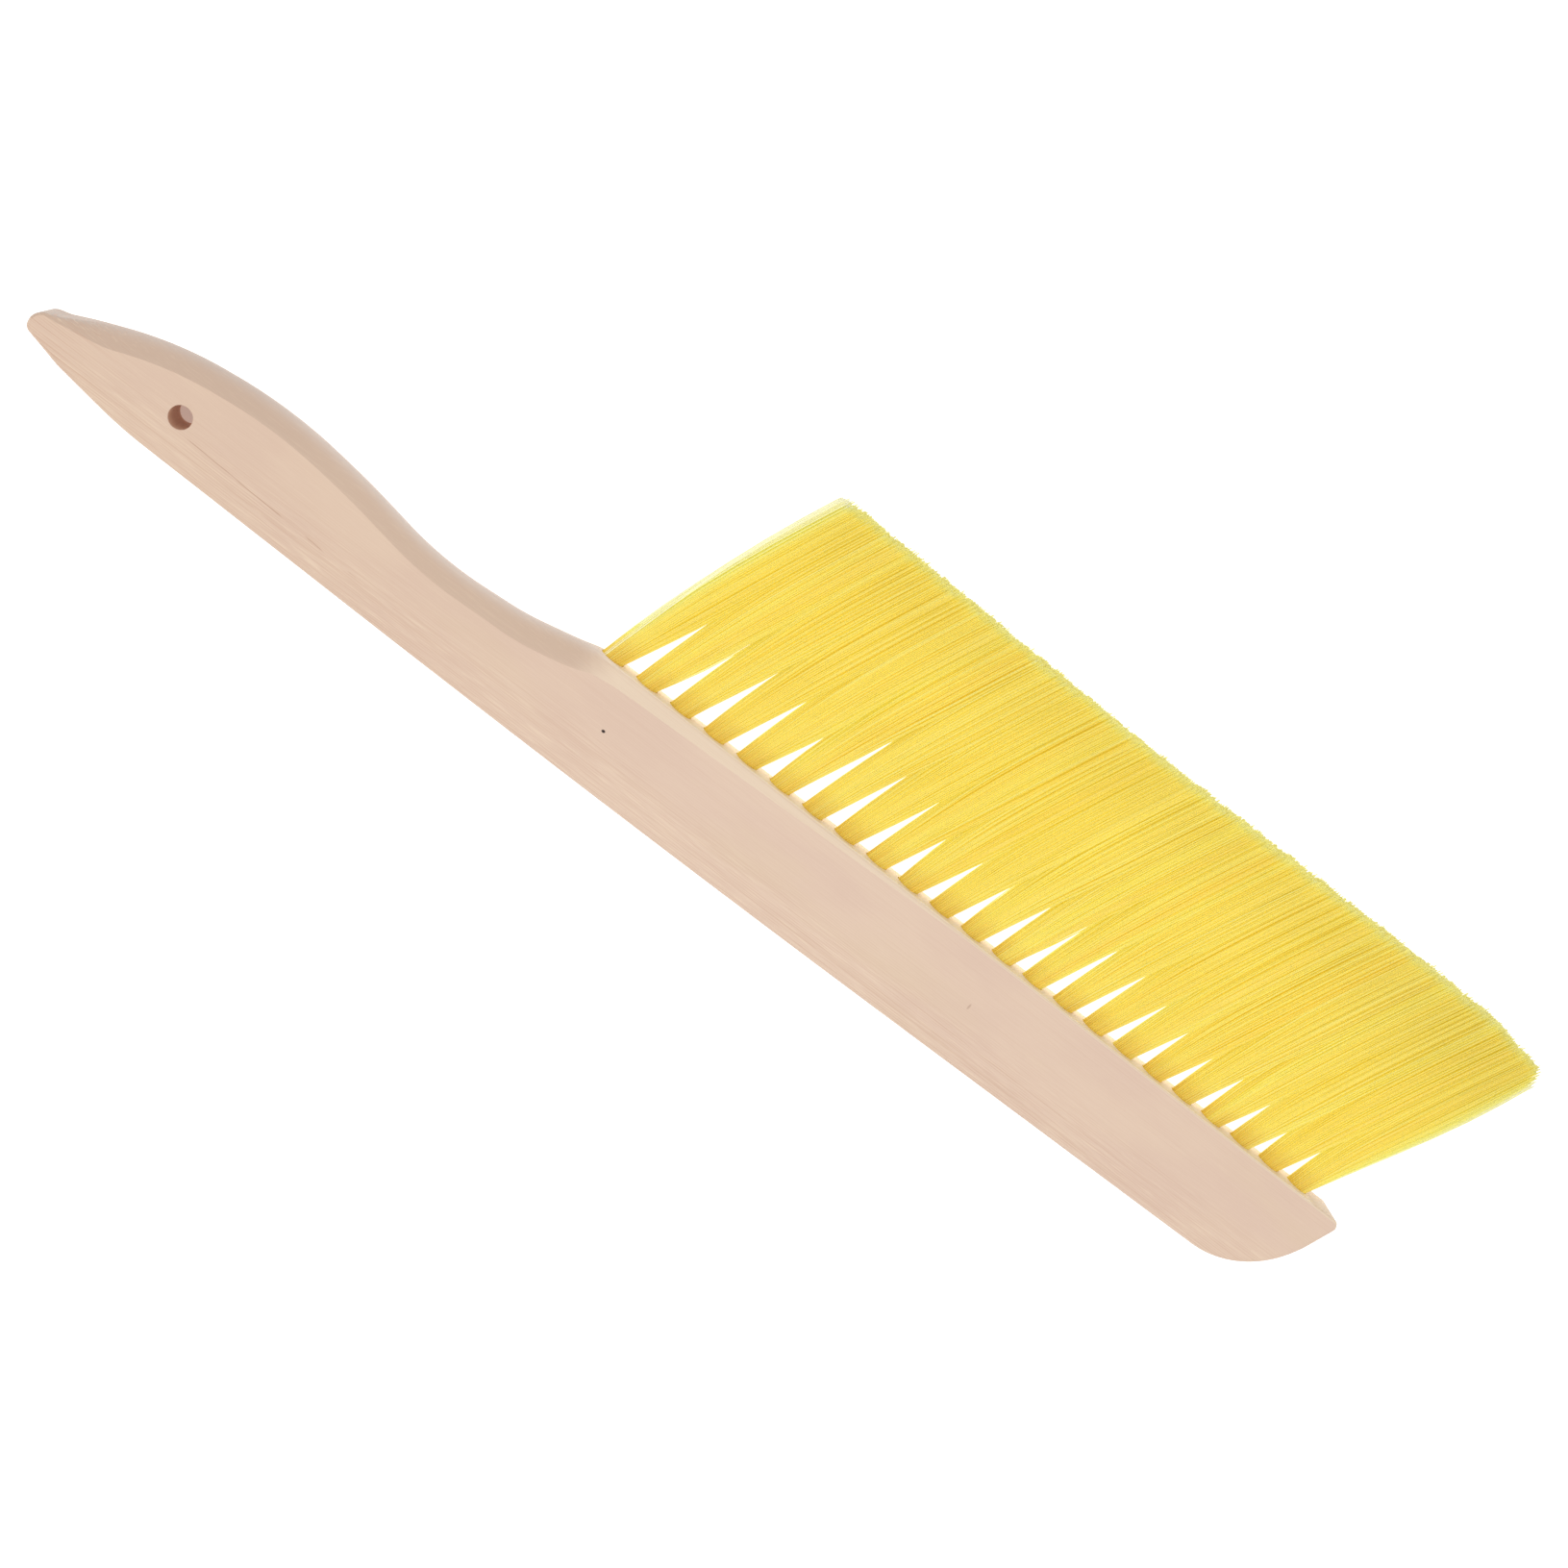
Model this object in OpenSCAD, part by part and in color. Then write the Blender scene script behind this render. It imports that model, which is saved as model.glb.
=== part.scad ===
// Single-row bee brush lying on its broad side: a shaped wooden handle and block in one piece,
// a row of leaning bristle tufts in blind holes, and the flat wire anchors that hold the tufts.
// X runs along the handle towards the head, Y towards the bristle tips, Z up through the wood.
// The origin is on the axis of the hang hole, in the plane that the brush lies on.

/* [Wood] */
// Thickness of the wood
board_t = 12; // [11:0.5:16]
// Length of the handle from the hang hole to the first tuft
handle_l = 108; // [104:0.5:116]
// Length of the tail behind the hang hole, to the corner point of its outline
tail_l = 39; // [38:0.5:42]
// Height of the bristle face above the hang hole's axis
face_y = 15.6; // [15:0.2:17]
// How much further out the bristle face lies at the nose than at the shoulder
face_rise = 0.8; // [0:0.1:1]
// Diameter of the hang hole
hang_d = 5.4; // [4:0.2:8]
// Radius of the plain rounded edges
edge_r = 1.2; // [0.8:0.1:1.6]
// How far the rounded grip edge of the handle reaches into the broad faces
grip_reach = 4.7; // [2:0.1:5]
// Width of the shallow bevel beside the first tuft, which narrows to nothing along the head
bevel_w = 4; // [2:0.2:5]

/* [Tufts] */
// Number of tufts in the row
tuft_count = 23; // [15:1:40]
// Spacing of the tufts along the row
tuft_pitch = 10; // [9:0.5:12]
// Diameter of a packed tuft where it leaves the wood
tuft_d = 5.8; // [4.5:0.1:6]
// Depth of the blind tuft holes
hole_depth = 14; // [10:0.5:15]
// Height of the bristle tips above the bristle face
bristle_h = 62.7; // [45:0.1:80]
// Lean of the tufts towards the head where they leave the wood
lean = 17.5; // [0:0.5:20]
// Extra shift of the tips towards the head, because the bristles bend
bend = 3.4; // [0:0.2:6]
// Height above the face at which a tuft reaches its neighbours
spread_h = 27; // [15:1:40]
// Thickness of the bristle screen at the tips
screen_t = 11; // [8:0.5:11.5]

/* [Anchors] */
// Length of a wire anchor, which bites into the wood on both sides of its hole
anchor_l = 7.2; // [6.8:0.1:8]
// Width of the flat anchor wire
anchor_w = 1.8; // [1.4:0.1:2.2]
// Thickness of the flat anchor wire
anchor_t = 0.4; // [0.3:0.05:0.5]

/* [Hidden] */
TUFTS = [for (i = [1 : tuft_count]) str("tuft_", i < 10 ? "0" : "", i)];
$fn = 48;

row_l = (tuft_count - 1) * tuft_pitch;
shoulder_x = handle_l - 3.5;
nose_x = handle_l + row_l + 14.6;
back_l = (nose_x - 1.6) / 2;
back_y = -12.8;
back_r = 0.22 * back_l * back_l;
bevel_l = 0.6 * row_l;
bevel_tilt = 16;
hole_gap = 0.1;
tuft_gap = 0.2;
anchor_seat = 1.2;
arc_step = 9;
arc_length = 25;
edge_steps = 4;
tuft_sides = 24;
tuft_rings = 5;

// Corners of the outline, clockwise from the tail: x, y and the radius of the arc that rounds each
corners = [
    // Tail
    [1.9 - tail_l, -5.1, 2],
    [1.2 - tail_l, -0.6, 3.6],
    [6.5 - tail_l, 1.2, 8],
    // Swell under the palm
    [24.3 - tail_l, 11.3, 85],
    [17.1, 15.7, 110],
    [shoulder_x - 64.2, 13.3, 200],
    // Neck
    [shoulder_x - 40.6, 9.35, 85],
    [shoulder_x - 18.4, 11.3, 65],
    // Bristle face and the blunt nose of the head
    [shoulder_x, face_y, 15],
    [nose_x, face_y + face_rise, 2.2],
    [nose_x - 3.7, 5.1, 24],
    [nose_x - 11.8, -11.2, 25],
    // Bowed back
    [back_l - 36.7, back_y, back_r],
    [-9.1, -10.4, 105],
    [11.5 - tail_l, -7.7, 25],
];

function unit(v) = v / norm(v);

// The x and y of a corner, without its radius
function flat(v) = [v[0], v[1]];

// The same turn, as an angle from -180 to 180
function short_way(angle) = angle > 180 ? angle - 360 : angle < -180 ? angle + 360 : angle;

// Smooth step from 0 at x = a to 1 at x = b
function ramp(x, a, b) =
    let(t = min(1, max(0, (x - a) / (b - a))))
    t * t * (3 - 2 * t);

// The arc that rounds the corner p between its neighbours a and b, as [point, outward normal] pairs
function corner_arc(a, p, b, r) =
    let(
        to_a = unit(a - p),
        to_b = unit(b - p),
        half = acos(to_a * to_b) / 2,
        centre = p + unit(to_a + to_b) * r / sin(half),
        first = p + to_a * r / tan(half) - centre,
        last = p + to_b * r / tan(half) - centre,
        start = atan2(first[1], first[0]),
        sweep = short_way(atan2(last[1], last[0]) - start),
        side = sweep < 0 ? 1 : -1,
        steps = max(3, ceil(abs(sweep) / arc_step), ceil(abs(sweep) * PI / 180 * r / arc_length))
    )
    [
        for (k = [0 : steps])
            let(angle = start + sweep * k / steps, arm = [cos(angle), sin(angle)])
            [centre + r * arm, side * arm]
    ];

outline = [
    for (i = [0 : len(corners) - 1])
        let(
            before = corners[(i + len(corners) - 1) % len(corners)],
            after = corners[(i + 1) % len(corners)]
        )
        each corner_arc(flat(before), flat(corners[i]), flat(after), corners[i][2])
];

// Share of the full grip rounding at a point of the outline: 1 on the bristle side of the handle
function grip_share(p, n) =
    n[1] < 0 ? 0 : ramp(p[0], 3 - tail_l, 18 - tail_l) * (1 - ramp(p[0], shoulder_x - 6, shoulder_x + 6));

function mix(a, b, share) = a + (b - a) * share;

// The outline at one step of the edge rounding, where angle runs from 0 on the broad face to 90 on the side
function board_ring(angle, top) = [
    for (v = outline)
        let(
            share = grip_share(v[0], v[1]),
            inset = mix(edge_r, grip_reach, share) * (1 - sin(angle)),
            drop = mix(edge_r, board_t / 2 - 0.1, share) * (1 - cos(angle)),
            p = v[0] - v[1] * inset
        )
        [p[0], p[1], top ? board_t - drop : drop]
];

// A closed solid through rings of points with equal counts, each ring clockwise seen from the first end
module skin(rings) {
    n = len(rings[0]);
    last = len(rings) - 1;
    sides = [
        for (k = [0 : last - 1], i = [0 : n - 1])
            let(j = (i + 1) % n)
            [k * n + i, (k + 1) * n + i, (k + 1) * n + j, k * n + j]
    ];
    first_cap = [[for (i = [0 : n - 1]) i]];
    last_cap = [[for (i = [n - 1 : -1 : 0]) last * n + i]];
    polyhedron(points = [for (ring = rings) each ring], faces = concat(first_cap, sides, last_cap));
}

// A ring moved up by a height
function raised(ring, height) = [for (p = ring) [p[0], p[1], p[2] + height]];

// The rounded edge is skinned past both broad faces, and a slab then cuts those faces flat
module board() {
    top = [for (k = [0 : edge_steps]) board_ring(90 * k / edge_steps, true)];
    bottom = [for (k = [edge_steps : -1 : 0]) board_ring(90 * k / edge_steps, false)];
    intersection() {
        skin(concat([raised(top[0], 1)], top, bottom, [raised(bottom[edge_steps], -1)]));
        translate([-tail_l - 5, -30, 0])
            cube([tail_l + nose_x + 10, 60, board_t]);
    }
}

// Places its children at a tuft's mouth, with +Z along the tuft
module at_tuft(i) {
    translate([handle_l + i * tuft_pitch, face_y, board_t / 2])
        rotate([0, 0, -lean])
            rotate([-90, 0, 0])
                children();
}

// The flat wire across the foot of a tuft hole, with its length along the row
module anchor_wire(i) {
    at_tuft(i)
        translate([-anchor_l / 2, -anchor_t / 2, anchor_seat - hole_depth])
            cube([anchor_l, anchor_t, anchor_w]);
}

// The wood that the bevel takes off the upper edge of the bristle face
module bevel_cut() {
    rise = face_rise * bevel_l / (nose_x - shoulder_x);
    translate([handle_l + bevel_l, face_y + rise, board_t])
        rotate([0, 0, atan((bevel_w + rise) / bevel_l)])
            rotate([-bevel_tilt, 0, 0])
                translate([-bevel_l - 10, 0, 0])
                    cube([bevel_l + 20, 20, 10]);
}

module handle() {
    color([0.90, 0.79, 0.72])
        difference() {
            board();
            bevel_cut();
            translate([0, 0, board_t])
                mirror([0, 0, 1])
                    bevel_cut();
            translate([0, 0, -1])
                cylinder(d = hang_d, h = board_t + 2);
            for (i = [0 : tuft_count - 1]) {
                at_tuft(i)
                    translate([0, 0, -hole_depth])
                        cylinder(d = tuft_d + 2 * hole_gap, h = hole_depth + 5);
                anchor_wire(i);
            }
        }
}

module tuft_anchors() {
    color("silver")
        for (i = [0 : tuft_count - 1])
            anchor_wire(i);
}

// A ring round the packed stem in its hole, at a depth along the hole
function stem_ring(depth) = [
    for (k = [0 : tuft_sides - 1])
        let(angle = -360 * k / tuft_sides, across = tuft_d / 2 * cos(angle))
        [
            across * cos(lean) - depth * sin(lean),
            -across * sin(lean) - depth * cos(lean),
            tuft_d / 2 * sin(angle)
        ]
];

// A ring round the bristles at height h above the bristle face
function bundle_ring(h) =
    let(
        share = h / bristle_h,
        shift = h * tan(lean) + bend * share * share,
        root_w = tuft_d / 2 / cos(lean),
        half_w = mix(root_w, (tuft_pitch - tuft_gap) / 2, sin(90 * min(1, h / spread_h))),
        half_t = mix(tuft_d / 2, screen_t / 2, share)
    )
    [
        for (k = [0 : tuft_sides - 1])
            let(angle = -360 * k / tuft_sides)
            [shift + half_w * cos(angle), h, half_t * sin(angle)]
    ];

module tuft(i) {
    low = [0, spread_h / 3, spread_h * 2 / 3];
    high = [for (k = [0 : tuft_rings - 1]) mix(spread_h, bristle_h, k / (tuft_rings - 1))];
    color([0.96, 0.84, 0.36])
        difference() {
            translate([handle_l + i * tuft_pitch, face_y, board_t / 2])
                skin(concat([stem_ring(hole_depth - 0.2)], [for (h = concat(low, high)) bundle_ring(h)]));
            anchor_wire(i);
        }
}

handle();
tuft_anchors();
for (i = [0 : tuft_count - 1])
    tuft(i);
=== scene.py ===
"""A wooden bee brush lying on its broad side: one shaped piece of wood and 23 tufts of filaments.

Everything is in the CAD frame, in metres: X runs along the handle towards the head, Y towards the
bristle tips and Z up through the wood. Shapes are worked out in millimetres and scaled at the end.
"""

import math

import bmesh
import bpy
import numpy as np
from mathutils import Matrix, Vector
from mathutils.geometry import delaunay_2d_cdt


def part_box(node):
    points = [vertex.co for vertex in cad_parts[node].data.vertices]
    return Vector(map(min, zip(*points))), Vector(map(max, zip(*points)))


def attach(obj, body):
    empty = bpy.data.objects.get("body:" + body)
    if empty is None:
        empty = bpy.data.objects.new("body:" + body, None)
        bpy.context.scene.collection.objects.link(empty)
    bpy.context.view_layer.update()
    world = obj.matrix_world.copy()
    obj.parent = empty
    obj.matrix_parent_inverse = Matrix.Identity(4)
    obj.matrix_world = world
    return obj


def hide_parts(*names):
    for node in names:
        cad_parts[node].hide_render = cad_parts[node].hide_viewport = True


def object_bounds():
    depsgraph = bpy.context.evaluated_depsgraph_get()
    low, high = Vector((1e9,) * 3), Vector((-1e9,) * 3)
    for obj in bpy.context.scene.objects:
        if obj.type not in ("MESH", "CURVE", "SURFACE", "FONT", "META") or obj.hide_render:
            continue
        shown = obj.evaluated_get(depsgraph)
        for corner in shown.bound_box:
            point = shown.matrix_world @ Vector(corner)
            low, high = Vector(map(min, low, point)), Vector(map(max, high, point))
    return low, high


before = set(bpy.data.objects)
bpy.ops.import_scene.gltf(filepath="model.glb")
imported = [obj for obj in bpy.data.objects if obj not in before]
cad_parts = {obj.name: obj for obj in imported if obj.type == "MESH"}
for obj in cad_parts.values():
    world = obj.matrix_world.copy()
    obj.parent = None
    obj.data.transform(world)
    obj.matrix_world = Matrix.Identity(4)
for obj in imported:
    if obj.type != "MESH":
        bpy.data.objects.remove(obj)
cad_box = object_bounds()

MM = 0.001
WOOD_HIGH = np.array(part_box("handle")[1]) / MM
BOARD_T = WOOD_HIGH[2]
# The bristle face lies further out at the nose, whose rounded corner takes a little off its height
FACE_RISE = 0.8
NOSE_LOSS = 0.01
FACE_Y = WOOD_HIGH[1] - FACE_RISE + NOSE_LOSS
TUFTS = sorted(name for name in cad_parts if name.startswith("tuft_") and name != "tuft_anchors")

# The tufts' lean where they leave the wood, the radius of a packed tuft, with that of the circle that
# holds its centre lines, the depth of its stem and the depth at which its filaments start to fold
LEAN = math.radians(17.5)
TUFT_R = 2.9
PACKED_R = TUFT_R - 0.15
STEM = 13.8
FOLD_DEPTH = 11.8
# The blind tuft holes and the hang hole
HOLE_R = 3.0
HOLE_DEPTH = 14.0
HANG_R = 2.7
HANG_BREAK = 0.15
STEM_TO_ROOT = STEM * math.sin(LEAN) + TUFT_R * math.cos(LEAN)
ROOT_X = [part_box(name)[0].x / MM + STEM_TO_ROOT for name in TUFTS]
TIP_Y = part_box(TUFTS[0])[1].y / MM
BRISTLE_H = TIP_Y - FACE_Y
PITCH = (ROOT_X[-1] - ROOT_X[0]) / (len(ROOT_X) - 1)
# How much further the tips lean because the filaments bend
BEND = 3.4
# Half the thickness of the bristle screen at the tips, and how far out a stray filament may lie
SCREEN_HALF = 5.0
SCREEN_LIMIT = 5.8

# The bevel beside the first tuft, which narrows to nothing along the head
BEVEL_W = 4.0
BEVEL_L = 132
BEVEL_TILT = math.radians(16)
# The grip's rounded edge: its reach into the broad face and the angle at which it leaves that face
GRIP_REACH = 4.7
GRIP_START = math.radians(25)
# Rings down half an edge, and the least angle between two faces that is shaded as an edge
EDGE_STEPS = 12
ARRIS = math.radians(38)

# Filaments in a tuft, folded to twice as many ends, and the strands that they gather in
FILAMENTS = 200
FILAMENT_R = 0.125
FILAMENT_SIDES = 5
STRANDS = 22
# Shares of the filaments that stray from their tuft, and that stand away from a free side
STRAY_SHARE = 0.035
LOOSE_SHARE = 0.12
SEED = 4100


def ramp(x, a, b):
    """Smooth step from 0 at a to 1 at b."""
    t = np.clip((np.asarray(x, float) - a) / (b - a), 0, 1)
    return t * t * (3 - 2 * t)


def mix(a, b, share):
    """The value at a share of the way from a to b."""
    return a + (b - a) * share


# ---------------------------------------------------------------- shader nodes


def node(tree, kind, inputs=(), **props):
    """Adds a shader node; inputs are pairs of a socket's name or number and a value or a socket to link."""
    n = tree.nodes.new(kind)
    for key, value in props.items():
        setattr(n, key, value)
    for key, value in dict(inputs).items():
        if isinstance(value, bpy.types.NodeSocket):
            tree.links.new(value, n.inputs[key])
        else:
            n.inputs[key].default_value = value
    return n


def math_node(tree, operation, *values):
    return node(tree, "ShaderNodeMath", dict(enumerate(values)), operation=operation).outputs[0]


def times(tree, first, *others):
    """The product of two or more values."""
    for other in others:
        first = math_node(tree, "MULTIPLY", first, other)
    return first


def distance(tree, a, b):
    """The length of the vector with legs a and b."""
    return math_node(tree, "SQRT", math_node(tree, "ADD", times(tree, a, a), times(tree, b, b)))


def step_node(tree, value, low, high, to_low=0.0, to_high=1.0):
    """A smooth step of value from low to high."""
    n = node(tree, "ShaderNodeMapRange", {
        "Value": value, "From Min": low, "From Max": high, "To Min": to_low, "To Max": to_high,
    }, interpolation_type="SMOOTHSTEP")
    return n.outputs["Result"]


def noise_node(tree, place, stretch, detail=2.0, rough=0.5, offset=(0, 0, 0)):
    """Noise over the object, with so many features to the metre along each axis."""
    moved = node(tree, "ShaderNodeMapping", {"Vector": place, "Location": offset, "Scale": stretch})
    return node(tree, "ShaderNodeTexNoise", {
        "Vector": moved.outputs[0], "Scale": 1.0, "Detail": detail, "Roughness": rough,
    }).outputs[0]


def colour(r, g, b):
    """A display colour from 0 to 255 as linear light."""
    return tuple(((c / 255 + 0.055) / 1.055) ** 2.4 if c > 10 else c / 255 / 12.92 for c in (r, g, b)) + (1,)


def blend(tree, a, b, factor, how="MIX"):
    """The colour a, with b mixed in by a factor from 0 to 1."""
    n = node(tree, "ShaderNodeMix", {"Factor": factor}, data_type="RGBA", blend_type=how)
    for socket, value in ((n.inputs[6], a), (n.inputs[7], b)):
        if isinstance(value, bpy.types.NodeSocket):
            tree.links.new(value, socket)
        else:
            socket.default_value = value
    return n.outputs[2]


def new_material(name):
    """A material with its node tree and its principled shader."""
    material = bpy.data.materials.new(name)
    material.use_nodes = True
    return material, material.node_tree, material.node_tree.nodes["Principled BSDF"]


# ---------------------------------------------------------------- camera, light and floor


def look_from(place, target, roll, lens):
    """The camera, in metres and radians, turned about its own axis by roll."""
    forward = (Vector(target) - Vector(place)).normalized()
    right = forward.cross(Vector((0, 1, 0))).normalized()
    down = forward.cross(right)
    x = right * math.cos(roll) + down * math.sin(roll)
    y = right * math.sin(roll) - down * math.cos(roll)
    data = bpy.data.cameras.new("camera")
    data.sensor_width = 36
    data.lens = lens
    data.clip_start, data.clip_end = 0.01, 50
    camera = bpy.data.objects.new("camera", data)
    camera.matrix_world = Matrix.Translation(place) @ Matrix((x, y, -forward)).transposed().to_4x4()
    bpy.context.scene.collection.objects.link(camera)
    bpy.context.scene.camera = camera


def area_light(name, place, target, size, power):
    """A square white light, with its size in metres and its power in watts."""
    data = bpy.data.lights.new(name, "AREA")
    data.shape, data.size, data.energy = "SQUARE", size, power
    light = bpy.data.objects.new(name, data)
    light.location = place
    light.rotation_mode = "QUATERNION"
    light.rotation_quaternion = (Vector(target) - Vector(place)).to_track_quat("-Z", "Y")
    bpy.context.scene.collection.objects.link(light)


def make_stage():
    """Plain white studio: an even white surround, one large softbox and a lit white floor, with a painted
    shadow under the hang hole.
    """
    bpy.context.scene.view_settings.view_transform = "Standard"
    world = bpy.data.worlds.new("studio")
    bpy.context.scene.world = world
    world.use_nodes = True
    tree = world.node_tree
    tree.nodes.clear()
    seen = node(tree, "ShaderNodeLightPath").outputs["Is Camera Ray"]
    strength = node(tree, "ShaderNodeMix", {"Factor": seen, 2: 0.6, 3: 1.0})
    light = node(tree, "ShaderNodeBackground", {"Color": (1, 1, 1, 1), "Strength": strength.outputs[0]})
    node(tree, "ShaderNodeOutputWorld", {"Surface": light.outputs[0]})

    middle = ((cad_box[0] + cad_box[1]) / 2).to_2d().to_3d()
    area_light("softbox", middle + Vector((-0.1, -0.05, 1.5)), middle, 1.5, 12)

    data = bpy.data.meshes.new("floor")
    side = 8
    corners = [(-side, -side, 0), (side, -side, 0), (side, side, 0), (-side, side, 0)]
    data.from_pydata([Vector(c) + middle - Vector((0, 0, 0.00005)) for c in corners], [], [(0, 1, 2, 3)])
    floor = bpy.data.objects.new("floor", data)
    bpy.context.scene.collection.objects.link(floor)
    material, tree, shader = new_material("lit_white_acrylic")
    shader.inputs["Base Color"].default_value = (0.5, 0.5, 0.5, 1)
    shader.inputs["Roughness"].default_value = 0.9
    shader.inputs["Specular IOR Level"].default_value = 0
    # Painted shadow: the floor's glow dims and turns pinkish under the hang hole, so the floor seen through
    # the hole stays dark
    place = node(tree, "ShaderNodeTexCoord").outputs["Object"]
    away = node(tree, "ShaderNodeVectorMath", {0: place}, operation="LENGTH").outputs["Value"]
    far = step_node(tree, away, 0.004, 0.007)
    tree.links.new(step_node(tree, far, 0, 1, 0.33, 0.95), shader.inputs["Emission Strength"])
    glow = blend(tree, colour(255, 216, 198), (1, 1, 1, 1), far)
    tree.links.new(glow, shader.inputs["Emission Color"])
    data.materials.append(material)


# ---------------------------------------------------------------- the wood


def outline_points():
    """The board's outline, clockwise, in millimetres: corners of x, y and the radius that rounds each."""
    tail = -39.0
    shoulder = ROOT_X[0] - 3.5
    nose = ROOT_X[-1] + 14.6
    half_back = (nose - 1.6) / 2
    # Tail, swell under the palm, neck, shoulder, nose and bowed back
    corners = [
        (tail + 1.9, -5.1, 2), (tail + 1.2, -0.6, 3.6), (tail + 6.5, 1.2, 8),
        (tail + 24.3, 11.3, 85), (17.1, 15.7, 110), (shoulder - 64.2, 13.3, 200),
        (shoulder - 40.6, 9.35, 85), (shoulder - 18.4, 11.3, 65), (shoulder, FACE_Y, 9),
        (nose, FACE_Y + FACE_RISE, 2.2), (nose - 3.7, 5.1, 24), (nose - 11.8, -11.2, 25),
        (half_back - 36.7, -12.8, 0.22 * half_back**2), (-9.1, -10.4, 105), (tail + 11.5, -7.7, 25),
    ]
    points = []
    for i, (x, y, radius) in enumerate(corners):
        p = np.array((x, y))
        to_a = np.array(corners[i - 1][:2]) - p
        to_b = np.array(corners[(i + 1) % len(corners)][:2]) - p
        to_a, to_b = to_a / np.linalg.norm(to_a), to_b / np.linalg.norm(to_b)
        half = math.acos(to_a @ to_b) / 2
        inward = (to_a + to_b) / np.linalg.norm(to_a + to_b)
        centre = p + inward * radius / math.sin(half)
        first, last = (p + v * radius / math.tan(half) - centre for v in (to_a, to_b))
        start = math.atan2(first[1], first[0])
        sweep = (math.atan2(last[1], last[0]) - start + math.pi) % (2 * math.pi) - math.pi
        steps = max(4, math.ceil(abs(sweep) / math.radians(6)), math.ceil(abs(sweep) * radius / 1.2))
        for k in range(steps + 1):
            angle = start + sweep * k / steps
            points.append(centre + radius * np.array((math.cos(angle), math.sin(angle))))
    filled = []
    for a, b in zip(points, points[1:] + points[:1]):
        parts = max(1, math.ceil(np.linalg.norm(b - a) / 1.6))
        filled += [mix(a, b, k / parts) for k in range(parts)]
    return np.array(filled)


def edge_profile(x, normal_y):
    """How far each step of the edge lies in from the outline and down from the broad face."""
    top_side = normal_y > 0
    # The grip's rounding starts behind the tail's tip and ends at the shoulder, the bevel starts there
    grip = np.where(top_side, ramp(x, -36, -21) * (1 - ramp(x, 98, 113)), 0)
    on_face = ramp(normal_y, 0.6, 0.95) * ramp(x, 92, 104)
    bevel = BEVEL_W * np.clip((ROOT_X[0] + BEVEL_L - x) / BEVEL_L, 0, 1) * on_face
    radius = np.where(top_side, mix(1.2, 0.7, on_face), 1.4) * mix(0.7, 1, ramp(x, -38, -30))
    reach = GRIP_REACH + 1.0 * ramp(x, 70, 96)
    drop = BOARD_T / 2 - 0.1
    insets, drops = [], []
    for k in range(EDGE_STEPS + 1):
        s = math.sin(math.pi / 2 * k / EDGE_STEPS)
        grip_angle = np.arcsin(mix(math.sin(GRIP_START), 1, s))
        grip_in = reach * (1 - s)
        grip_drop = drop * (math.cos(GRIP_START) - np.cos(grip_angle)) / math.cos(GRIP_START)
        plain_in = np.maximum(bevel, radius) * (1 - s)
        inside = np.maximum(radius - plain_in, 0)
        rounding = radius - np.sqrt(np.maximum(radius**2 - inside**2, 0))
        plain_drop = math.tan(BEVEL_TILT) * np.maximum(bevel - plain_in, 0) + rounding
        insets.append(mix(plain_in, grip_in, grip))
        drops.append(mix(plain_drop, grip_drop, grip))
    crisp = (grip > 0.25) | (bevel > 0.9)
    return np.array(insets), np.array(drops), crisp


def fill_between(loop, hole):
    """Triangles between two closed loops in a broad face, each a list of (point, vertex number)."""
    points = [Vector(p) for p, _ in loop + hole]
    numbers = [n for _, n in loop + hole]
    edges = [(k, (k + 1) % len(loop)) for k in range(len(loop))]
    edges += [(len(loop) + k, len(loop) + (k + 1) % len(hole)) for k in range(len(hole))]
    faces = delaunay_2d_cdt(points, edges, [], 1, 1e-6)[2]
    # Triangles inside the hole have their middles within its rim, which is a polygon round the origin
    rim = 0.997 * points[-1].length
    return [
        [numbers[v] for v in face] for face in faces
        if np.hypot(*np.mean([points[v] for v in face], axis=0)) > rim
    ]


def tuft_holes():
    """The leaning blind holes, as one mesh to cut away from the wood."""
    bm = bmesh.new()
    proud = 6
    for x in ROOT_X:
        lean = Matrix.Rotation(-LEAN, 4, "Z") @ Matrix.Rotation(math.radians(90), 4, "X")
        axis = Vector((math.sin(LEAN), math.cos(LEAN), 0))
        middle = Vector((x, FACE_Y, BOARD_T / 2)) + axis * (proud - HOLE_DEPTH) / 2
        bmesh.ops.create_cone(
            bm, cap_ends=True, segments=32, radius1=HOLE_R, radius2=HOLE_R, depth=HOLE_DEPTH + proud,
            matrix=Matrix.Translation(middle) @ lean,
        )
    bmesh.ops.scale(bm, vec=(MM, MM, MM), verts=bm.verts)
    mesh = bpy.data.meshes.new("tuft_holes")
    bm.to_mesh(mesh)
    bm.free()
    return mesh


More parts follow.
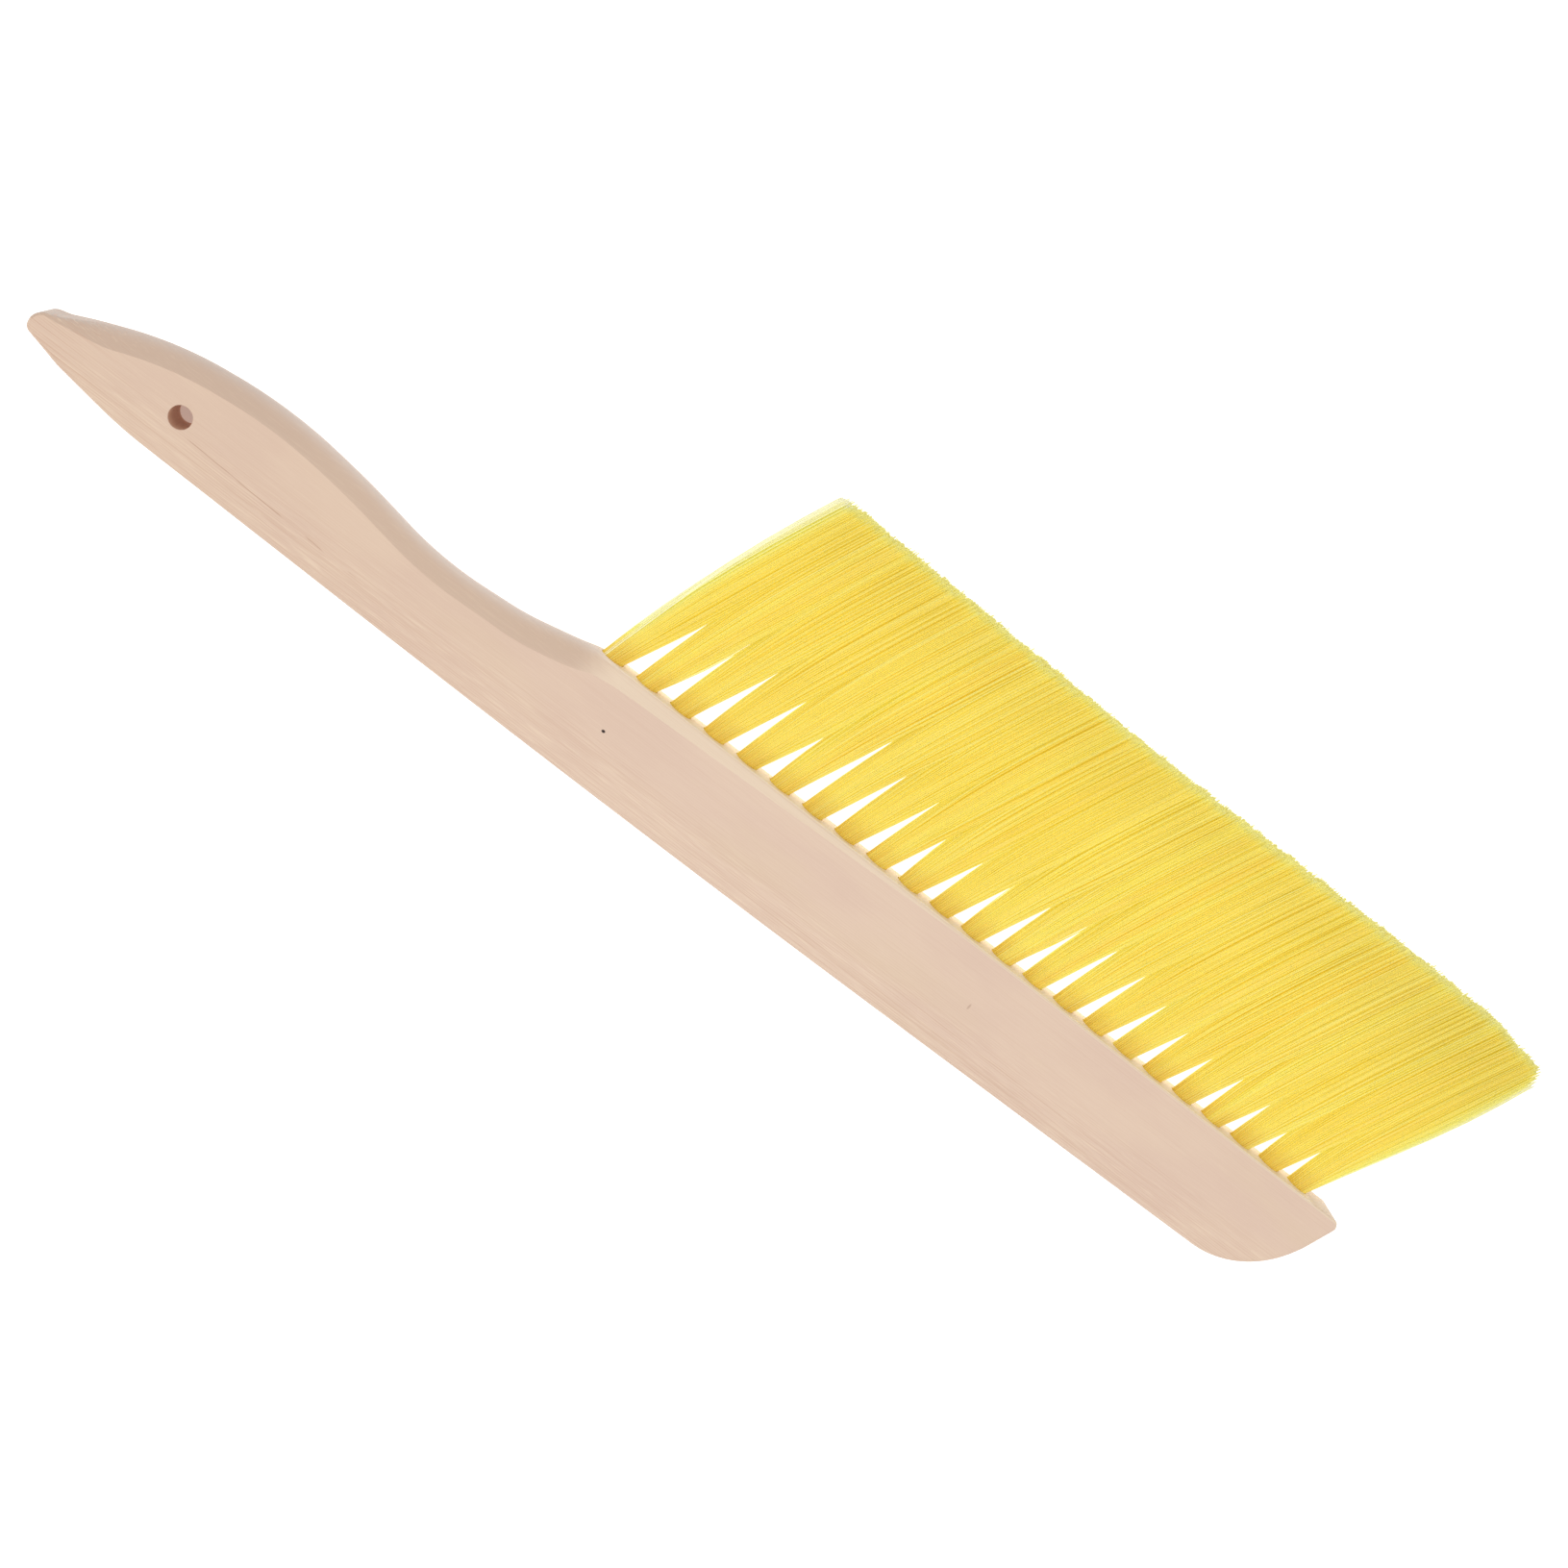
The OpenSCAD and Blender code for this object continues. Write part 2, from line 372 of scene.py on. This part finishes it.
def make_wood():
    """Handle and block: rings up one edge and down the other, two broad faces and the drilled holes."""
    points = outline_points()
    count = len(points)
    along = np.roll(points, -1, axis=0) - np.roll(points, 1, axis=0)
    along /= np.linalg.norm(along, axis=1)[:, None]
    normals = np.stack((-along[:, 1], along[:, 0]), axis=1)
    insets, drops, crisp = edge_profile(points[:, 0], normals[:, 1])

    levels = [(insets[0] + 0.3, np.zeros(count))] + list(zip(insets, drops))
    rings = []
    for inset, drop in levels:
        xy = points - normals * inset[:, None]
        rings.append(np.column_stack((xy, BOARD_T - drop)))
    rings += [np.column_stack((ring[:, :2], BOARD_T - ring[:, 2])) for ring in rings[::-1]]
    verts = [tuple(p) for ring in rings for p in ring]

    def at(level, k):
        return level * count + k % count

    faces = []
    for level in range(len(rings) - 1):
        for k in range(count):
            faces.append((at(level, k), at(level, k + 1), at(level + 1, k + 1), at(level + 1, k)))

    # Hang hole, with its mouths slightly broken
    sides = 48
    hole_rings = []
    for top in (True, False):
        angles = [0, 30, 60, 90] if top else [90, 60, 30, 0]
        for a in map(math.radians, angles):
            r, down = HANG_R + HANG_BREAK * (1 - math.sin(a)), HANG_BREAK * (1 - math.cos(a))
            z = BOARD_T - down if top else down
            hole_rings.append(len(verts))
            for k in range(sides):
                t = 2 * math.pi * k / sides
                verts.append((r * math.cos(t), r * math.sin(t), z))
    for a, b in zip(hole_rings, hole_rings[1:]):
        faces += [(a + k, a + (k + 1) % sides, b + (k + 1) % sides, b + k) for k in range(sides)]

    def loop(start, size):
        return [(verts[start + k][:2], start + k) for k in range(size)]

    faces += fill_between(loop(0, count), loop(hole_rings[0], sides))
    faces += fill_between(loop((len(rings) - 1) * count, count), loop(hole_rings[-1], sides))

    mesh = bpy.data.meshes.new("handle_blank")
    mesh.from_pydata([Vector(v) * MM for v in verts], [], faces)
    bm = bmesh.new()
    bm.from_mesh(mesh)
    bmesh.ops.recalc_face_normals(bm, faces=bm.faces)
    arris = {
        frozenset((at(level, k), at(level, k + 1)))
        for level in (1, len(rings) - 2) for k in range(count) if crisp[k]
    }
    for edge in bm.edges:
        edge.smooth = frozenset(v.index for v in edge.verts) not in arris
    for face in bm.faces:
        face.smooth = True
    bm.to_mesh(mesh)
    bm.free()

    blank = bpy.data.objects.new("handle_blank", mesh)
    cutter = bpy.data.objects.new("tuft_holes", tuft_holes())
    for each in (blank, cutter):
        bpy.context.scene.collection.objects.link(each)
    cut = blank.modifiers.new("tuft_holes", "BOOLEAN")
    cut.operation, cut.object, cut.solver = "DIFFERENCE", cutter, "EXACT"
    bpy.context.view_layer.update()
    wood = bpy.data.meshes.new_from_object(blank.evaluated_get(bpy.context.evaluated_depsgraph_get()))
    wood.name = "handle_wood"
    for each in (blank, cutter):
        bpy.data.objects.remove(each)

    bm = bmesh.new()
    bm.from_mesh(wood)
    for edge in bm.edges:
        if len(edge.link_faces) == 2 and edge.calc_face_angle() > ARRIS:
            edge.smooth = False
    for face in bm.faces:
        face.smooth = True
    bm.to_mesh(wood)
    bm.free()
    wood.materials.clear()
    add_piece("handle_wood", wood, wood_material(), "handle")


def add_piece(name, mesh, material, cad_node):
    """Puts a finished mesh in the scene in place of its CAD node."""
    mesh.materials.append(material)
    piece = bpy.data.objects.new(name, mesh)
    bpy.context.scene.collection.objects.link(piece)
    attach(piece, "root")
    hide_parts(cad_node)


# ---------------------------------------------------------------- the filaments


def leg_paths(rng, root_u, root_v, index):
    """Centre lines of one leg of each filament, from the foot of the stem to the tip."""
    n = len(root_u)
    heights = np.array([0, 5, 11, 18, 26, 35, 44, 53, 60.5, BRISTLE_H])
    first, last = index == 0, index == len(TUFTS) - 1

    # Filaments gather in a few strands, which show as streaks
    strand_u, strand_v = rng.uniform(-1, 1, STRANDS), rng.uniform(-1, 1, STRANDS)
    apart = (root_u[:, None] - strand_u) ** 2 + (root_v[:, None] - strand_v) ** 2
    owner = np.argmin(apart + rng.normal(0, 0.08, (n, STRANDS)), axis=1)
    pull = rng.uniform(0.02, 0.17, STRANDS)[owner]
    tip_u = mix(root_u, strand_u[owner], pull) + rng.normal(0, 0.045, n)
    tip_v = mix(root_v, strand_v[owner], pull) + rng.normal(0, 0.07, n)
    # The round bundle fills out towards a square, so that neighbouring tufts meet evenly
    longer = np.maximum(abs(tip_u), abs(tip_v))
    square = 1 / np.maximum(longer / np.maximum(np.hypot(tip_u, tip_v), 1e-6), 0.7)
    tip_u, tip_v = tip_u * mix(1, square, 0.8), tip_v * mix(1, square, 0.8)
    limit = 1.12
    tip_u, tip_v = np.clip(tip_u, -limit, limit), np.clip(tip_v, -limit, limit)

    # Each side of a tuft meets its neighbour at its own height, lower down in the last few tufts
    early = mix(1, 0.62, ramp(index, 17, 19))
    spread = {-1: early * rng.uniform(20, 58), 1: early * rng.uniform(17, 56)}
    stray = rng.random(n) < STRAY_SHARE
    wander_x = rng.normal(0, 0.09, n) * np.where(stray, 6, 1)
    wander_z = rng.normal(0, 0.1, n) * np.where(stray, 4, 1)
    bow = rng.normal(0, 0.12, n)
    # The trimmed tips rise a little along the row and drop away at its end
    end = ROOT_X[index] - ROOT_X[-1] + 5.3 * tip_u
    tip_h = BRISTLE_H + 2.3 * ramp(index, 8, 19) - 1.8 * ramp(end, -16, -2) - 5.5 * ramp(end, 0, 6.2)
    tip_h += 0.4 - abs(rng.normal(0, 0.4, n)) - rng.uniform(0, 0.7, STRANDS)[owner]
    tip_h += np.where(rng.random(n) < 0.05, rng.uniform(0, 0.8, n), 0)
    # Single filaments that stand away from the free sides of the first and the last tuft
    loose = np.where((abs(root_u) > 0.6) & (rng.random(n) < LOOSE_SHARE), rng.uniform(0.4, 1.8, n), 0)

    root_w = PACKED_R / math.cos(LEAN)
    path = np.zeros((n, len(heights), 3))
    pale = np.zeros((n, len(heights)))
    for k, height in enumerate(heights):
        h = tip_h * (height / BRISTLE_H)
        share = h / BRISTLE_H
        u, v = mix(root_u, tip_u, ramp(share, 0, 0.7)), mix(root_v, tip_v, ramp(share, 0, 0.7))
        side = np.where(u < 0, -1, 1)
        reach = np.where(side < 0, spread[-1], spread[1])
        grown = np.minimum(1, h / reach)
        grown = np.where(side < 0, np.sin(np.pi / 2 * grown), ramp(grown, -1, 1) * 2 - 1)
        half_w = mix(root_w, PITCH / 2 + 0.35, grown)
        outer = (first & (side < 0)) | (last & (side > 0))
        if first:
            free_w = root_w + 2.0 * np.sin(np.pi / 2 * np.minimum(1, share / 0.5))
        else:
            free_w = root_w + 3.9 * np.sin(np.pi / 2 * np.minimum(1, share / 0.62))
            free_w -= 1.4 * ramp(share, 0.7, 0.95)
        half_w = np.where(outer, free_w, half_w)
        half_t = mix(PACKED_R, SCREEN_HALF, share)
        x = u * half_w + wander_x * share**1.4 + bow * np.sin(np.pi * share) * share
        fringe = np.where(outer, side * loose * ramp(share, 0.2, 0.85), 0)
        z = np.clip(v * half_t + wander_z * share**1.4, -SCREEN_LIMIT, SCREEN_LIMIT)
        path[:, k, 0] = x + fringe + h * math.tan(LEAN) + BEND * share**2
        path[:, k, 1] = h
        path[:, k, 2] = z
        # Filaments are painted paler where they stand alone, as painted light let through them: at a tuft's
        # open sides, at the tips and when astray
        edge = np.where(outer, ramp(abs(u), 0.3, 1.0), 0.35 * ramp(abs(u), 0.8, 1.02))
        edge *= ramp(share, 0.03, 0.2)
        merged = np.where(outer, 0, ramp(h, reach * 0.9, reach * 1.3))
        tip = 0.5 * ramp(height / BRISTLE_H, 0.966, 1)
        alone = edge * (1 - merged) + tip + np.where(stray, 0.35, 0) + loose * outer
        pale[:, k] = np.clip(alone, 0, 1)
    # The stem inside the wood runs straight back from the mouth
    foot = np.zeros((n, 1, 3))
    across = root_u * PACKED_R
    foot[:, 0, 0] = across * math.cos(LEAN) - FOLD_DEPTH * math.sin(LEAN)
    foot[:, 0, 1] = -across * math.sin(LEAN) - FOLD_DEPTH * math.cos(LEAN)
    foot[:, 0, 2] = root_v * PACKED_R
    pale = np.concatenate((np.zeros((n, 1)), pale), axis=1)
    tone = rng.normal(0, 1, STRANDS)[owner]
    return np.concatenate((foot, path), axis=1), pale, tone


def make_tuft(index, material):
    """One tuft: filaments that come out of the hole, go in again and are folded under the anchor."""
    rng = np.random.default_rng(SEED + index)
    n = FILAMENTS
    k = np.arange(n) + 0.5
    radius, angle = np.sqrt(k / n), k * math.pi * (3 - math.sqrt(5))
    u, v = radius * np.cos(angle), radius * np.sin(angle)
    v = np.maximum(abs(v), 0.13)
    front, front_pale, tone = leg_paths(rng, u, v, index)
    back, back_pale, tone_back = leg_paths(rng, u + rng.normal(0, 0.02, n), -v, index)

    fold = np.zeros((n, 3, 3))
    for step, (height, depth) in enumerate(((0.6, 0.75), (0, 1), (-0.6, 0.75))):
        down = mix(FOLD_DEPTH, 13.0 + 0.7 * v, depth)
        across = u * PACKED_R
        fold[:, step, 0] = across * math.cos(LEAN) - down * math.sin(LEAN)
        fold[:, step, 1] = -across * math.sin(LEAN) - down * math.cos(LEAN)
        fold[:, step, 2] = v * PACKED_R * height
    path = np.concatenate((front[:, ::-1], fold, back), axis=1)
    pale = np.concatenate((front_pale[:, ::-1], np.zeros((n, 3)), back_pale), axis=1)
    levels = path.shape[1]
    tones = np.repeat(tone[:, None], levels, axis=1)
    tones[:, levels // 2:] = tone_back[:, None]

    # A thin tube round each centre line
    sides = FILAMENT_SIDES
    ahead = np.gradient(path, axis=1)
    ahead /= np.linalg.norm(ahead, axis=2, keepdims=True)
    across = np.array((math.cos(LEAN), -math.sin(LEAN), 0.0))
    one = across - ahead * (ahead @ across)[..., None]
    one /= np.linalg.norm(one, axis=2, keepdims=True)
    two = np.cross(ahead, one)
    turn = 2 * math.pi * np.arange(sides) / sides
    size = FILAMENT_R * rng.uniform(0.85, 1.12, n)
    ring = one[:, :, None] * np.cos(turn)[:, None] + two[:, :, None] * np.sin(turn)[:, None]
    co = path[:, :, None] + ring * size[:, None, None, None]
    co += np.array((ROOT_X[index], FACE_Y, BOARD_T / 2))
    co = co.reshape(-1, 3) * MM

    base = (np.arange(n) * levels * sides)[:, None, None]
    level = (np.arange(levels - 1) * sides)[:, None]
    a, b = np.arange(sides), (np.arange(sides) + 1) % sides
    quads = np.stack(np.broadcast_arrays(
        base + level + a, base + level + b, base + level + sides + b, base + level + sides + a
    ), axis=-1).reshape(-1, 4)
    starts = np.arange(n) * levels * sides
    low = starts[:, None] + np.arange(sides)[::-1]
    high = starts[:, None] + (levels - 1) * sides + np.arange(sides)
    loops = np.concatenate((quads.ravel(), low.ravel(), high.ravel()))
    sizes = np.concatenate((np.full(len(quads), 4), np.full(2 * n, sides)))

    mesh = bpy.data.meshes.new(TUFTS[index] + "_filaments")
    mesh.vertices.add(len(co))
    mesh.vertices.foreach_set("co", co.ravel())
    mesh.loops.add(len(loops))
    mesh.loops.foreach_set("vertex_index", loops)
    mesh.polygons.add(len(sizes))
    mesh.polygons.foreach_set("loop_start", np.concatenate(([0], np.cumsum(sizes)[:-1])))
    mesh.update(calc_edges=True)
    mesh.validate()
    mesh.polygons.foreach_set("use_smooth", np.ones(len(sizes), bool))
    for name, values in (("pale", pale), ("tone", tones)):
        layer = mesh.attributes.new(name, "FLOAT", "POINT")
        layer.data.foreach_set("value", np.repeat(values.ravel(), sides))
    add_piece(TUFTS[index] + "_filaments", mesh, material, TUFTS[index])


# ---------------------------------------------------------------- materials


def wood_material():
    """Pale sanded hardwood, with fine straight grain along the board, and painted light and shade on its
    edges and in the hang hole.
    """
    material, tree, shader = new_material("sanded_wood")
    place = node(tree, "ShaderNodeTexCoord").outputs["Object"]
    x, y, z = node(tree, "ShaderNodeSeparateXYZ", {0: place}).outputs

    patches = noise_node(tree, place, (28, 75, 75), 3)
    tint = blend(tree, colour(228, 201, 179), colour(225, 197, 177), step_node(tree, patches, 0.35, 0.65))
    yellow = noise_node(tree, place, (18, 60, 60), 2, offset=(3, 1, 7))
    tint = blend(tree, tint, colour(226, 201, 174), step_node(tree, yellow, 0.5, 0.75, 0, 0.6))
    tint = blend(tree, tint, colour(250, 249, 247), step_node(tree, x, 0.16, 0.03, 0, 1), "MULTIPLY")

    # Painted shade and light: the grip's rounded edge is painted darker than the face where it turns from
    # the light, the bevel and the bristle face are painted lighter as if lit, and the bristle face at the
    # nose is painted darker again
    normal = node(tree, "ShaderNodeTexCoord").outputs["Normal"]
    facing = node(tree, "ShaderNodeSeparateXYZ", {0: normal}).outputs
    level = math_node(tree, "ABSOLUTE", facing[2])
    on_grip = times(tree, step_node(tree, x, 0.112, 0.1), step_node(tree, facing[1], -0.05, 0.1))
    grip_painted_shade = times(tree, step_node(tree, level, 0.985, 0.93), on_grip)
    grip_painted_shade = times(tree, grip_painted_shade, step_node(tree, level, 0.0, 0.7, 0.8, 1.0))
    grip_shade_tint = blend(tree, colour(203, 177, 157), colour(208, 182, 161), step_node(tree, x, 0.01, 0.04))
    tint = blend(tree, tint, grip_shade_tint, grip_painted_shade)
    # Painted light on the bevel and the bristle face, and painted shade on the bristle face at the nose
    head_painted_light = times(tree, step_node(tree, x, 0.1, 0.112), step_node(tree, facing[1], 0.1, 0.22))
    tint = blend(tree, tint, colour(236, 216, 190), times(tree, head_painted_light, 0.7))
    wall_painted_light_and_shade = times(tree, head_painted_light, step_node(tree, facing[1], 0.6, 0.9))
    at_nose = step_node(tree, x, ROOT_X[-1] * MM + 0.0025, ROOT_X[-1] * MM + 0.005)
    wall_painted_tint = blend(tree, colour(248, 233, 218), colour(224, 203, 185), at_nose)
    tint = blend(tree, tint, wall_painted_tint, wall_painted_light_and_shade)

    # Painted shade: the upright sides are painted greyer, and darker on the bristle side along the grip,
    # darkest at the tail's tip
    sides = times(tree, step_node(tree, level, 0.8, 0.2), step_node(tree, head_painted_light, 0.6, 0.1))
    shade = times(tree, step_node(tree, facing[1], -0.05, 0.1), step_node(tree, x, 0.03, 0.0, 0.4, 1.0))
    shaded = blend(tree, colour(196, 182, 173), colour(178, 166, 157), step_node(tree, x, -0.018, -0.032))
    rim = blend(tree, colour(219, 205, 196), shaded, shade)
    tint = blend(tree, tint, rim, times(tree, sides, 0.7))

    # Grain shows mostly on the back half of the board and at the tail
    back = step_node(tree, y, 0.003, -0.008, 0.25, 1.0)
    tail = step_node(tree, x, -0.012, -0.03, 0.0, 0.8)
    where = math_node(tree, "MAXIMUM", back, tail)
    lines = noise_node(tree, place, (6, 2900, 1200), 2, 0.6)
    dashes = noise_node(tree, place, (110, 3800, 1900), 2, 0.55)
    dark = times(tree, step_node(tree, lines, 0.5, 0.72), where)
    light = times(tree, step_node(tree, dashes, 0.52, 0.7), where)
    tint = blend(tree, tint, colour(203, 168, 143), times(tree, dark, 0.38))
    tint = blend(tree, tint, colour(242, 218, 190), times(tree, light, 0.45))

    # One long brown line from the hang hole, and a few reddish ones at the tail
    on_top = step_node(tree, z, 0.0112, 0.0118)
    wobble = math_node(tree, "MULTIPLY_ADD", noise_node(tree, place, (60, 60, 60), 2), 0.0012, -0.0006)
    centre = math_node(tree, "ADD", math_node(tree, "MULTIPLY_ADD", x, -0.043, -0.00275), wobble)
    away = math_node(tree, "ABSOLUTE", math_node(tree, "SUBTRACT", y, centre))
    line = times(tree, step_node(tree, away, 0.00017, 0.00003), on_top)
    ends = times(tree, step_node(tree, x, 0.002, 0.006), step_node(tree, x, 0.062, 0.035))
    broken = step_node(tree, noise_node(tree, place, (150, 20, 20), 1), 0.38, 0.5)
    line = times(tree, line, ends, broken)
    tint = blend(tree, tint, colour(176, 134, 108), times(tree, line, 0.6))
    red = times(tree, step_node(tree, lines, 0.55, 0.66), tail)
    tint = blend(tree, tint, colour(196, 148, 122), times(tree, red, 0.35))
    # Fine even lines, about half a millimetre apart
    line_pitch = 0.00055
    swing = times(tree, noise_node(tree, place, (6, 60, 40), 2, offset=(5, 2, 1)), 20.0)
    phase = math_node(tree, "MULTIPLY_ADD", y, 2 * math.pi / line_pitch, swing)
    fine = step_node(tree, math_node(tree, "SINE", phase), 0.1, 0.9, 0, 0.35)
    fine = times(tree, fine, where, step_node(tree, dashes, 0.62, 0.42))
    tint = blend(tree, tint, colour(206, 166, 138), fine)

    # A pin knot and a faint mark
    for (cx, cy), (rx, ry), mark, strength in (
        ((0.1163, 0.0018), (0.00052, 0.0004), (40, 18, 12), 1.0),
        ((0.2281, 0.0027), (0.0003, 0.0009), (188, 158, 138), 0.6),
    ):
        dx = math_node(tree, "DIVIDE", math_node(tree, "SUBTRACT", x, cx), rx)
        dy = math_node(tree, "DIVIDE", math_node(tree, "SUBTRACT", y, cy), ry)
        far = distance(tree, dx, dy)
        spot = times(tree, step_node(tree, far, 1.2, 0.6, 0, strength), on_top)
        tint = blend(tree, tint, colour(*mark), spot)
    # Painted shade: the wall of the drilled hole is painted darker and redder
    out = distance(tree, x, y)
    inside = times(tree, step_node(tree, out, 0.0031, 0.00285), step_node(tree, level, 0.8, 0.4))
    tint = blend(tree, tint, colour(222, 182, 156), inside)
    tree.links.new(tint, shader.inputs["Base Color"])

    rough = step_node(tree, patches, 0.3, 0.7, 0.5, 0.62)
    tree.links.new(rough, shader.inputs["Roughness"])
    shader.inputs["Specular IOR Level"].default_value = 0.35
    height = math_node(tree, "MULTIPLY_ADD", dashes, 0.5, lines)
    bump = node(tree, "ShaderNodeBump", {"Strength": 0.25, "Distance": 0.00012, "Height": height})
    tree.links.new(bump.outputs[0], shader.inputs["Normal"])
    return material


def filament_material():
    """Clear yellow plastic, with painted shade deepening it at the roots, painted light paling it where
    single filaments stand apart, and a painted glow.
    """
    material, tree, shader = new_material("yellow_filament")
    place = node(tree, "ShaderNodeTexCoord").outputs["Object"]
    x, y = node(tree, "ShaderNodeSeparateXYZ", {0: place}).outputs[:2]
    height = math_node(tree, "MULTIPLY_ADD", y, 1000 / BRISTLE_H, -FACE_Y / BRISTLE_H)
    tone = node(tree, "ShaderNodeAttribute", attribute_name="tone").outputs["Fac"]
    pale = node(tree, "ShaderNodeAttribute", attribute_name="pale").outputs["Fac"]
    single = node(tree, "ShaderNodeNewGeometry").outputs["Random Per Island"]

    # Painted shade: the filaments are painted a deeper yellow near the roots
    tint = blend(tree, colour(242, 224, 124), colour(251, 243, 160), step_node(tree, height, -0.02, 0.14))
    tint = blend(tree, tint, colour(251, 238, 144), step_node(tree, tone, 0.2, 1.6, 0, 0.5))
    tint = blend(tree, tint, colour(251, 247, 174), step_node(tree, tone, -0.2, -1.6, 0, 0.6))
    tint = blend(tree, tint, colour(250, 242, 148), step_node(tree, single, 0.6, 1.0, 0, 0.6))
    # Painted light: single filaments are painted paler, for the white light that passes through them
    tint = blend(tree, tint, colour(246, 246, 196), pale)
    tint = blend(tree, tint, colour(251, 249, 232), step_node(tree, pale, 0.75, 1.0, 0, 0.8))
    # The last tufts are a shade darker
    late = times(tree, step_node(tree, x, 0.27, 0.34), step_node(tree, height, 0.3, 0.8))
    tint = blend(tree, tint, colour(253, 253, 255), late, "MULTIPLY")
    tree.links.new(tint, shader.inputs["Base Color"])
    # Painted light: the filaments glow a deeper yellow, standing in for light that has wandered through many
    # filaments, a little less towards the tips
    tree.links.new(blend(tree, tint, tint, 1.0, "MULTIPLY"), shader.inputs["Emission Color"])
    tree.links.new(step_node(tree, height, 0.6, 0.97, 0.237, 0.2), shader.inputs["Emission Strength"])
    rough = step_node(tree, single, 0, 1, 0.28, 0.42)
    tree.links.new(rough, shader.inputs["Roughness"])
    shader.inputs["Specular IOR Level"].default_value = 0.4
    through = node(tree, "ShaderNodeBsdfTranslucent", {"Color": tint})
    both = node(tree, "ShaderNodeMixShader", {0: 0.55, 1: shader.outputs[0], 2: through.outputs[0]})
    out = next(n for n in tree.nodes if n.type == "OUTPUT_MATERIAL")
    tree.links.new(both.outputs[0], out.inputs["Surface"])
    return material


def wire_material():
    """Drawn flat steel wire, with fine marks along its length."""
    material, tree, shader = new_material("drawn_wire")
    place = node(tree, "ShaderNodeTexCoord").outputs["Object"]
    marks = noise_node(tree, place, (300, 4000, 9000), 2)
    tint = blend(tree, colour(150, 150, 152), colour(188, 188, 190), marks)
    tree.links.new(tint, shader.inputs["Base Color"])
    tree.links.new(step_node(tree, marks, 0.3, 0.7, 0.28, 0.42), shader.inputs["Roughness"])
    shader.inputs["Metallic"].default_value = 1
    return material


# ---------------------------------------------------------------- the scene

look_from(
    place=(0.05107, 0.11294, 0.48183),
    target=(0.15707, 0.01816, BOARD_T * MM),
    roll=math.radians(-40.34),
    lens=48.12,
)
make_stage()
make_wood()
filaments = filament_material()
for index in range(len(TUFTS)):
    make_tuft(index, filaments)
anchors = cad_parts["tuft_anchors"]
steel = wire_material()
for material_slot in anchors.material_slots:
    material_slot.material = steel
